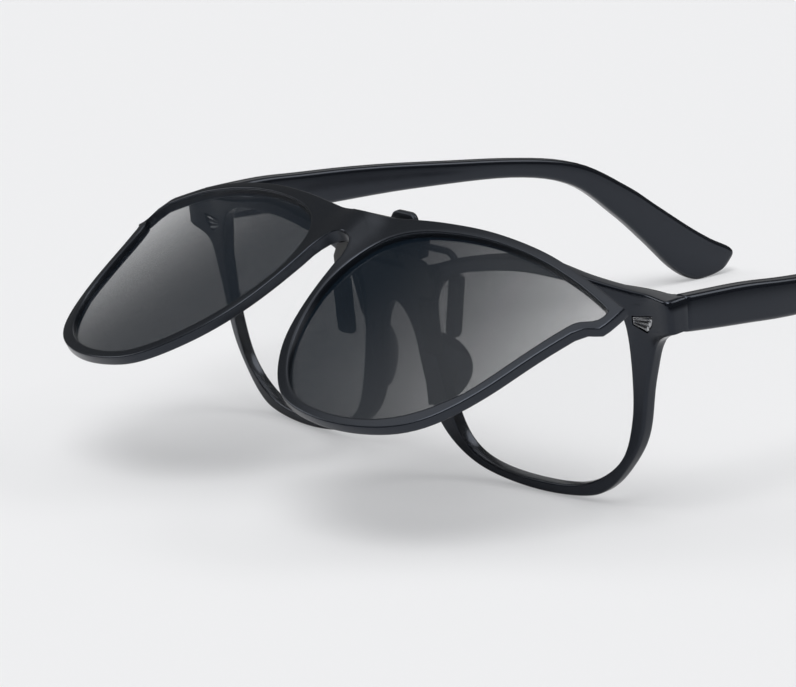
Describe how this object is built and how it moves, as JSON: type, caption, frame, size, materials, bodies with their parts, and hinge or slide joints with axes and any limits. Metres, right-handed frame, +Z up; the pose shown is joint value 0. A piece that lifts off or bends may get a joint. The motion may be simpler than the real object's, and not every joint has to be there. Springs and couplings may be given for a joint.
{
  "type": "optical frame with flip-up clip-on sunglasses",
  "caption": "Black optical frame with clear lenses, carrying a clip-on with tinted lenses that is flipped up on a sprung clamp over the bridge.",
  "frame": {"origin": "on the table under the middle of the whole part, halfway between the flipped-up clip-on's lower edge and the ear ends", "axes": "+Z up from the table, the front of the glasses faces -Y, the temples run back along +Y, +X towards the side that is on the right when the glasses are seen from in front"},
  "size_m": [0.1414, 0.1968, 0.0503],
  "materials": {
    "frame_polymer": "satin black moulded polymer",
    "clip_polymer": "satin black moulded polymer",
    "clear_lens": "clear polished",
    "tinted_lens": "smoke grey polished",
    "rubber": "matt black",
    "mechanism_polymer": "satin black",
    "dark_metal": "black lacquered spring steel",
    "plaque_metal": "polished nickel silver",
    "steel": "plain steel"
  },
  "bodies": {
    "front": {"front_frame": "frame_polymer", "clear_lens_right": "clear_lens", "clear_lens_left": "clear_lens", "plaque_right": "plaque_metal", "plaque_left": "plaque_metal", "hinge_front_leaf_right": "steel", "hinge_front_leaf_left": "steel", "hinge_screw_right": "steel", "hinge_screw_left": "steel"},
    "right_temple": {"temple_right": "frame_polymer", "hinge_temple_leaf_right": "steel"},
    "left_temple": {"temple_left": "frame_polymer", "hinge_temple_leaf_left": "steel"},
    "clamp": {"flip_pin": "steel", "clamp_block": "mechanism_polymer", "detent_spring": "steel", "front_prongs": "dark_metal", "prong_rivets": "steel", "front_sleeve_right": "rubber", "front_sleeve_left": "rubber", "claw_pin": "steel", "claw_spring": "steel"},
    "clip_on": {"clip_frame": "clip_polymer", "tinted_lens_right": "tinted_lens", "tinted_lens_left": "tinted_lens", "clip_bracket": "steel", "bracket_screws": "steel"},
    "claw": {"thumb_lever": "mechanism_polymer", "claw_wire_right": "dark_metal", "claw_wire_left": "dark_metal", "rear_sleeve_right": "rubber", "rear_sleeve_left": "rubber"}
  },
  "joints": [
    {"name": "fold_right_temple", "type": "hinge", "parent": "front", "child": "right_temple", "pos_m": [0.0653, -0.04185, 0.0386], "axis": [0, 0, 1], "range_deg": [0, 84]},
    {"name": "fold_left_temple", "type": "hinge", "parent": "front", "child": "left_temple", "pos_m": [-0.0653, -0.04185, 0.0386], "axis": [0, 0, -1], "range_deg": [0, 76]},
    {"name": "lift_clip_on_off", "type": "slide", "parent": "front", "child": "clamp", "axis": [0, -0.0872, 0.9962], "range_m": [0, 0.04]},
    {"name": "flip_clip_on", "type": "hinge", "parent": "clamp", "child": "clip_on", "pos_m": [-0.0012, -0.05542, 0.04766], "axis": [-1, 0, 0], "range_deg": [-65.4, 24.6]},
    {"name": "open_rear_claw", "type": "hinge", "parent": "clamp", "child": "claw", "pos_m": [-0.0012, -0.04827, 0.04432], "axis": [1, 0, 0], "range_deg": [0, 16], "stiffness_Nm_per_rad": 0.02, "springref_deg": -8.59, "deforming": ["claw_spring"]}
  ]
}
